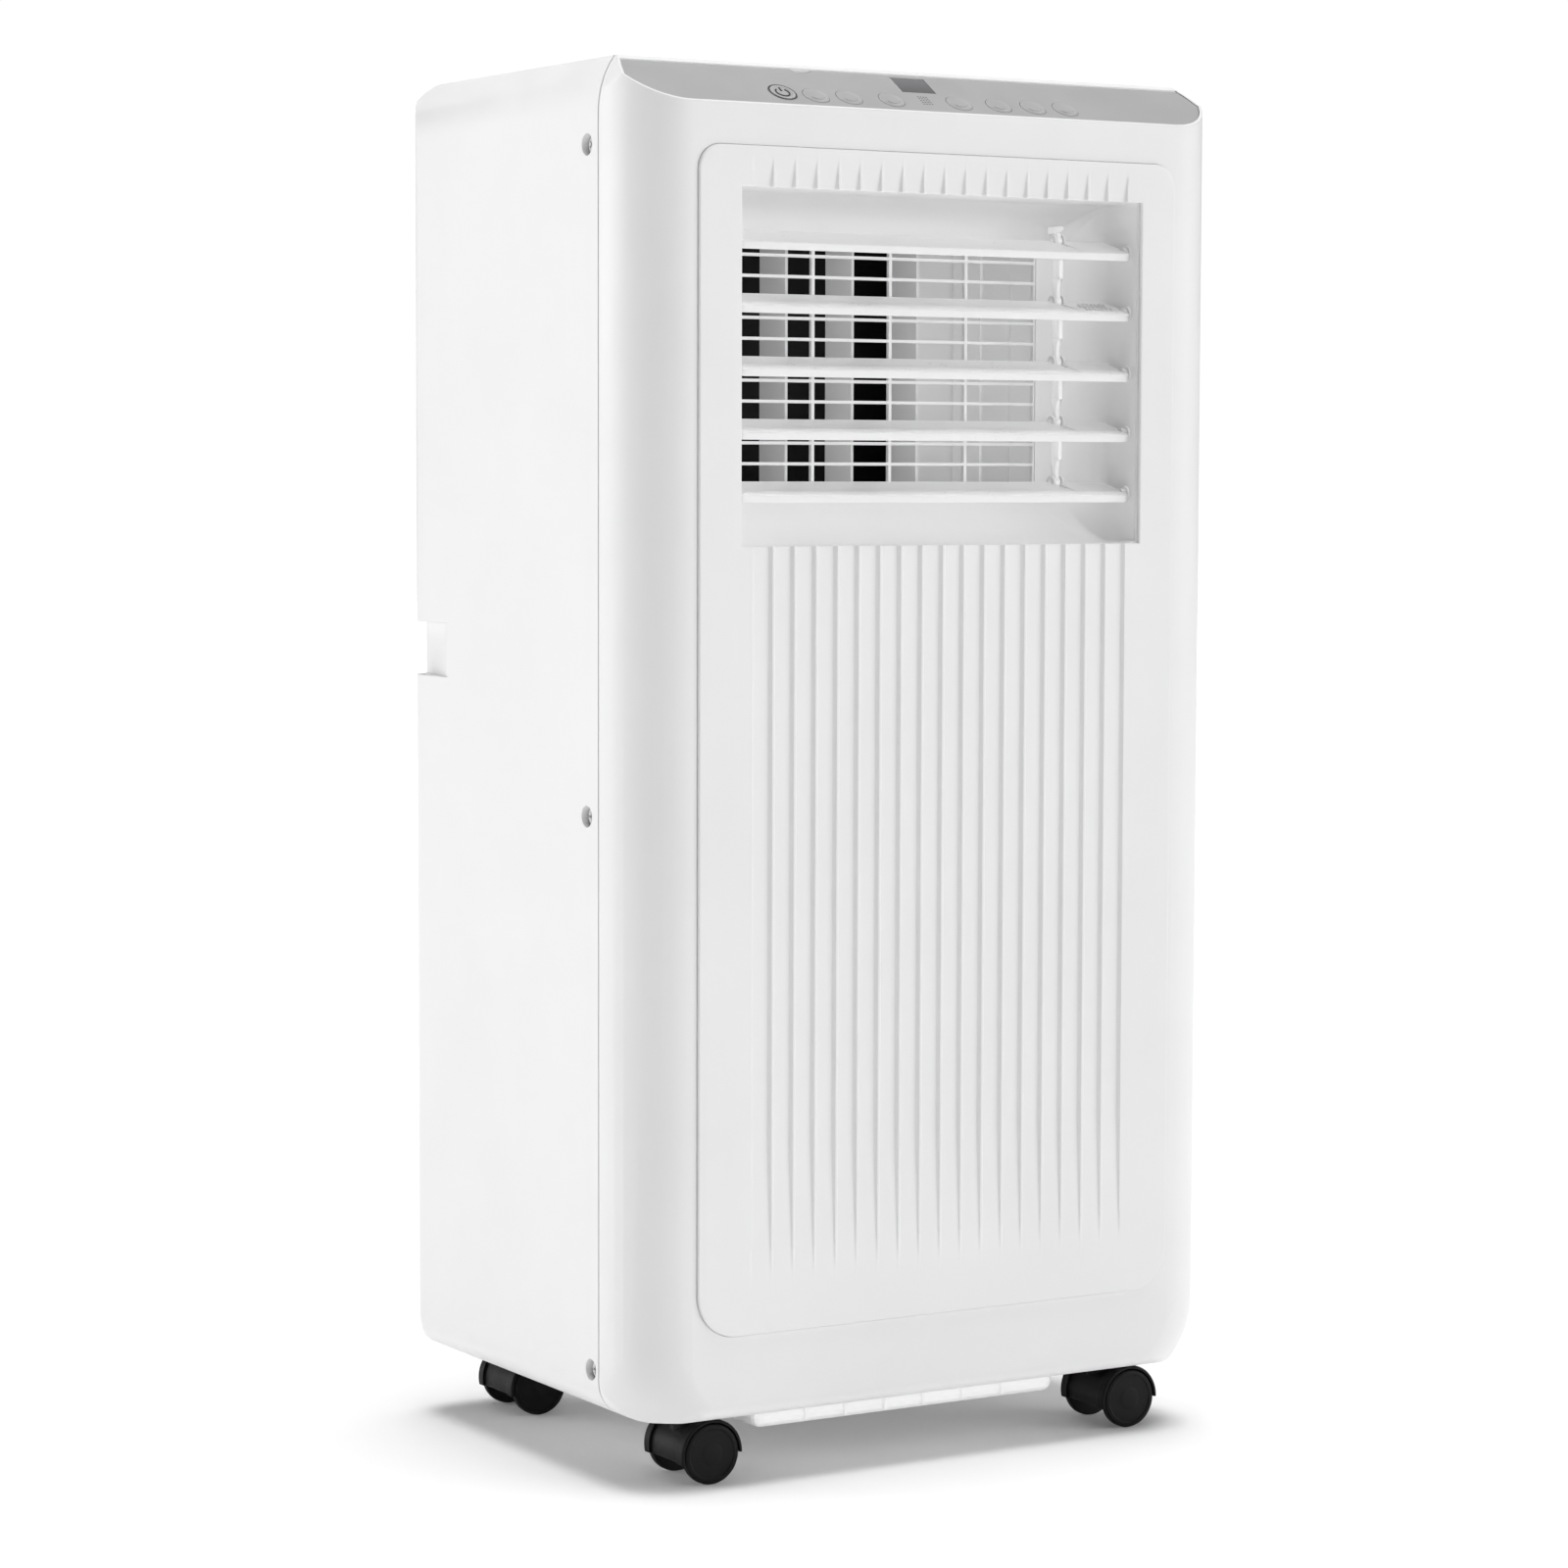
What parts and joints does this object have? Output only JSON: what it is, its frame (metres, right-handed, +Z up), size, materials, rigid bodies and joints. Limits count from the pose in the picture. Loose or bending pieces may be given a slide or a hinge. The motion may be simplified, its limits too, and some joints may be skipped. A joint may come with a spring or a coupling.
{
  "type": "portable air conditioner",
  "caption": "Tall white portable air conditioner on casters with a sloping grey control panel, a front louver bay of tilting vanes over a ribbed panel, and rear intakes and hose collar.",
  "frame": {"origin": "on the floor under the middle of the cabinet", "axes": "+Z up, the louvers and control panel face -Y, +X to the viewer's right when facing the front"},
  "size_m": [0.349, 0.2566, 0.7],
  "materials": {
    "white_plastic": "fine satin moulding, warm white",
    "grey_fascia": "smooth satin grey",
    "smoked_window": "smoked gloss window",
    "black_plastic": "moulded black nylon",
    "fan_plastic": "black fan plastic",
    "duct_plastic": "plain white moulding",
    "circuit_board": "green circuit board",
    "fin_aluminium": "thin fins",
    "copper_tube": "drawn copper tube",
    "motor_steel": "zinc plated",
    "screw_steel": "white coated steel",
    "black_enamel": "black enamel",
    "plug_rubber": "soft matt rubber",
    "filter_mesh": "fine nylon mesh"
  },
  "bodies": {
    "cabinet": {"front_cover": "white_plastic", "rear_shell": "white_plastic", "base_pan": "white_plastic", "cover_screw_left_top": "screw_steel", "cover_screw_left_middle": "screw_steel", "cover_screw_left_bottom": "screw_steel", "cover_screw_right_top": "screw_steel", "cover_screw_right_middle": "screw_steel", "cover_screw_right_bottom": "screw_steel", "control_fascia": "grey_fascia", "display_window": "smoked_window", "control_board": "circuit_board", "louver_bay": "white_plastic", "outlet_grille": "white_plastic", "swing_motor": "motor_steel", "upper_blower_housing": "duct_plastic", "upper_blower_motor": "motor_steel", "lower_blower_housing": "duct_plastic", "lower_blower_motor": "motor_steel", "evaporator": "fin_aluminium", "condenser": "fin_aluminium", "compressor": "black_enamel", "refrigerant_pipe": "copper_tube", "partition_deck": "duct_plastic", "lower_intake_grille": "white_plastic", "exhaust_collar": "white_plastic", "upper_drain_plug": "plug_rubber", "lower_drain_plug": "plug_rubber", "cord_gland": "plug_rubber"},
    "filter_door": {"upper_intake_grille": "white_plastic", "intake_filter": "filter_mesh"},
    "power_button": {"power_button": "grey_fascia"},
    "control_button_1": {"control_button_1": "grey_fascia"},
    "control_button_2": {"control_button_2": "grey_fascia"},
    "control_button_3": {"control_button_3": "grey_fascia"},
    "control_button_4": {"control_button_4": "grey_fascia"},
    "control_button_5": {"control_button_5": "grey_fascia"},
    "control_button_6": {"control_button_6": "grey_fascia"},
    "control_button_7": {"control_button_7": "grey_fascia"},
    "louver_vane_1": {"louver_vane_1": "white_plastic"},
    "louver_vane_2": {"louver_vane_2": "white_plastic"},
    "louver_vane_3": {"louver_vane_3": "white_plastic"},
    "louver_vane_4": {"louver_vane_4": "white_plastic"},
    "louver_vane_5": {"louver_vane_5": "white_plastic"},
    "louver_link": {"louver_link": "white_plastic"},
    "deflector_vane_1": {"deflector_vane_1": "white_plastic"},
    "deflector_vane_2": {"deflector_vane_2": "white_plastic"},
    "deflector_vane_3": {"deflector_vane_3": "white_plastic"},
    "deflector_vane_4": {"deflector_vane_4": "white_plastic"},
    "deflector_link": {"deflector_link": "white_plastic"},
    "upper_blower_wheel": {"upper_blower_wheel": "fan_plastic"},
    "lower_blower_wheel": {"lower_blower_wheel": "fan_plastic"},
    "caster_hood_front_left": {"caster_hood_front_left": "black_plastic"},
    "caster_wheels_front_left": {"caster_wheels_front_left": "black_plastic"},
    "caster_hood_rear_left": {"caster_hood_rear_left": "black_plastic"},
    "caster_wheels_rear_left": {"caster_wheels_rear_left": "black_plastic"},
    "caster_hood_front_right": {"caster_hood_front_right": "black_plastic"},
    "caster_wheels_front_right": {"caster_wheels_front_right": "black_plastic"},
    "caster_hood_rear_right": {"caster_hood_rear_right": "black_plastic"},
    "caster_wheels_rear_right": {"caster_wheels_rear_right": "black_plastic"}
  },
  "joints": [
    {"name": "filter_door_tip", "type": "hinge", "parent": "cabinet", "child": "filter_door", "pos_m": [0, 0.1283, 0.3786], "axis": [-1, 0, 0], "range_deg": [0, 30]},
    {"name": "power_button_press", "type": "slide", "parent": "cabinet", "child": "power_button", "axis": [0, 0.5471, -0.8371], "range_m": [0, 0.0006], "stiffness_N_per_m": 400, "springref_m": -0.0004},
    {"name": "control_button_1_press", "type": "slide", "parent": "cabinet", "child": "control_button_1", "axis": [0, 0.5471, -0.8371], "range_m": [0, 0.0006], "stiffness_N_per_m": 400, "springref_m": -0.0004},
    {"name": "control_button_2_press", "type": "slide", "parent": "cabinet", "child": "control_button_2", "axis": [0, 0.5471, -0.8371], "range_m": [0, 0.0006], "stiffness_N_per_m": 400, "springref_m": -0.0004},
    {"name": "control_button_3_press", "type": "slide", "parent": "cabinet", "child": "control_button_3", "axis": [0, 0.5471, -0.8371], "range_m": [0, 0.0006], "stiffness_N_per_m": 400, "springref_m": -0.0004},
    {"name": "control_button_4_press", "type": "slide", "parent": "cabinet", "child": "control_button_4", "axis": [0, 0.5471, -0.8371], "range_m": [0, 0.0006], "stiffness_N_per_m": 400, "springref_m": -0.0004},
    {"name": "control_button_5_press", "type": "slide", "parent": "cabinet", "child": "control_button_5", "axis": [0, 0.5471, -0.8371], "range_m": [0, 0.0006], "stiffness_N_per_m": 400, "springref_m": -0.0004},
    {"name": "control_button_6_press", "type": "slide", "parent": "cabinet", "child": "control_button_6", "axis": [0, 0.5471, -0.8371], "range_m": [0, 0.0006], "stiffness_N_per_m": 400, "springref_m": -0.0004},
    {"name": "control_button_7_press", "type": "slide", "parent": "cabinet", "child": "control_button_7", "axis": [0, 0.5471, -0.8371], "range_m": [0, 0.0006], "stiffness_N_per_m": 400, "springref_m": -0.0004},
    {"name": "louver_vane_1_tilt", "type": "hinge", "parent": "cabinet", "child": "louver_vane_1", "pos_m": [0.0015, -0.1158, 0.6119], "axis": [1, 0, 0], "range_deg": [-42, 28]},
    {"name": "louver_vane_2_tilt", "type": "hinge", "parent": "cabinet", "child": "louver_vane_2", "pos_m": [0.0015, -0.1158, 0.5812], "axis": [1, 0, 0], "range_deg": [-42, 28]},
    {"name": "louver_vane_3_tilt", "type": "hinge", "parent": "cabinet", "child": "louver_vane_3", "pos_m": [0.0015, -0.1158, 0.5505], "axis": [1, 0, 0], "range_deg": [-42, 28]},
    {"name": "louver_vane_4_tilt", "type": "hinge", "parent": "cabinet", "child": "louver_vane_4", "pos_m": [0.0015, -0.1158, 0.5198], "axis": [1, 0, 0], "range_deg": [-42, 28]},
    {"name": "louver_vane_5_tilt", "type": "hinge", "parent": "cabinet", "child": "louver_vane_5", "pos_m": [0.0015, -0.1158, 0.4891], "axis": [1, 0, 0], "range_deg": [-42, 28]},
    {"name": "louver_link_pivot", "type": "hinge", "parent": "louver_vane_1", "child": "louver_link", "pos_m": [0.0865, -0.10037, 0.61787], "axis": [1, 0, 0], "range_deg": [-28, 42]},
    {"name": "deflector_vane_1_turn", "type": "hinge", "parent": "cabinet", "child": "deflector_vane_1", "pos_m": [-0.0575, -0.0588, 0.5505], "axis": [0, 0, 1], "range_deg": [-30, 30]},
    {"name": "deflector_vane_2_turn", "type": "hinge", "parent": "cabinet", "child": "deflector_vane_2", "pos_m": [-0.0185, -0.0588, 0.5505], "axis": [0, 0, 1], "range_deg": [-30, 30]},
    {"name": "deflector_vane_3_turn", "type": "hinge", "parent": "cabinet", "child": "deflector_vane_3", "pos_m": [0.0205, -0.0588, 0.5505], "axis": [0, 0, 1], "range_deg": [-30, 30]},
    {"name": "deflector_vane_4_turn", "type": "hinge", "parent": "cabinet", "child": "deflector_vane_4", "pos_m": [0.0595, -0.0588, 0.5505], "axis": [0, 0, 1], "range_deg": [-30, 30]},
    {"name": "deflector_link_pivot", "type": "hinge", "parent": "deflector_vane_1", "child": "deflector_link", "pos_m": [-0.0575, -0.0498, 0.4685], "axis": [0, 0, 1], "range_deg": [-30, 30]},
    {"name": "upper_blower_wheel_spin", "type": "hinge", "parent": "cabinet", "child": "upper_blower_wheel", "pos_m": [0, -0.024, 0.415], "axis": [0, 1, 0], "continuous": true},
    {"name": "lower_blower_wheel_spin", "type": "hinge", "parent": "cabinet", "child": "lower_blower_wheel", "pos_m": [0.072, -0.016, 0.132], "axis": [0, 1, 0], "continuous": true},
    {"name": "caster_swivel_front_left", "type": "hinge", "parent": "cabinet", "child": "caster_hood_front_left", "pos_m": [-0.1265, -0.0911, 0.035], "axis": [0, 0, 1], "continuous": true},
    {"name": "caster_roll_front_left", "type": "hinge", "parent": "caster_hood_front_left", "child": "caster_wheels_front_left", "pos_m": [-0.122, -0.0911, 0.0153], "axis": [0, 1, 0], "continuous": true},
    {"name": "caster_swivel_rear_left", "type": "hinge", "parent": "cabinet", "child": "caster_hood_rear_left", "pos_m": [-0.1265, 0.0911, 0.035], "axis": [0, 0, 1], "continuous": true},
    {"name": "caster_roll_rear_left", "type": "hinge", "parent": "caster_hood_rear_left", "child": "caster_wheels_rear_left", "pos_m": [-0.122, 0.0911, 0.0153], "axis": [0, 1, 0], "continuous": true},
    {"name": "caster_swivel_front_right", "type": "hinge", "parent": "cabinet", "child": "caster_hood_front_right", "pos_m": [0.1265, -0.0911, 0.035], "axis": [0, 0, 1], "continuous": true},
    {"name": "caster_roll_front_right", "type": "hinge", "parent": "caster_hood_front_right", "child": "caster_wheels_front_right", "pos_m": [0.131, -0.0911, 0.0153], "axis": [0, 1, 0], "continuous": true},
    {"name": "caster_swivel_rear_right", "type": "hinge", "parent": "cabinet", "child": "caster_hood_rear_right", "pos_m": [0.1265, 0.0911, 0.035], "axis": [0, 0, 1], "continuous": true},
    {"name": "caster_roll_rear_right", "type": "hinge", "parent": "caster_hood_rear_right", "child": "caster_wheels_rear_right", "pos_m": [0.131, 0.0911, 0.0153], "axis": [0, 1, 0], "continuous": true}
  ],
  "couplings": [
    {"joint": "louver_vane_2_tilt", "follows": "louver_vane_1_tilt", "ratio": 1},
    {"joint": "louver_vane_3_tilt", "follows": "louver_vane_1_tilt", "ratio": 1},
    {"joint": "louver_vane_4_tilt", "follows": "louver_vane_1_tilt", "ratio": 1},
    {"joint": "louver_vane_5_tilt", "follows": "louver_vane_1_tilt", "ratio": 1},
    {"joint": "louver_link_pivot", "follows": "louver_vane_1_tilt", "ratio": -1},
    {"joint": "deflector_vane_2_turn", "follows": "deflector_vane_1_turn", "ratio": 1},
    {"joint": "deflector_vane_3_turn", "follows": "deflector_vane_1_turn", "ratio": 1},
    {"joint": "deflector_vane_4_turn", "follows": "deflector_vane_1_turn", "ratio": 1},
    {"joint": "deflector_link_pivot", "follows": "deflector_vane_1_turn", "ratio": -1}
  ]
}
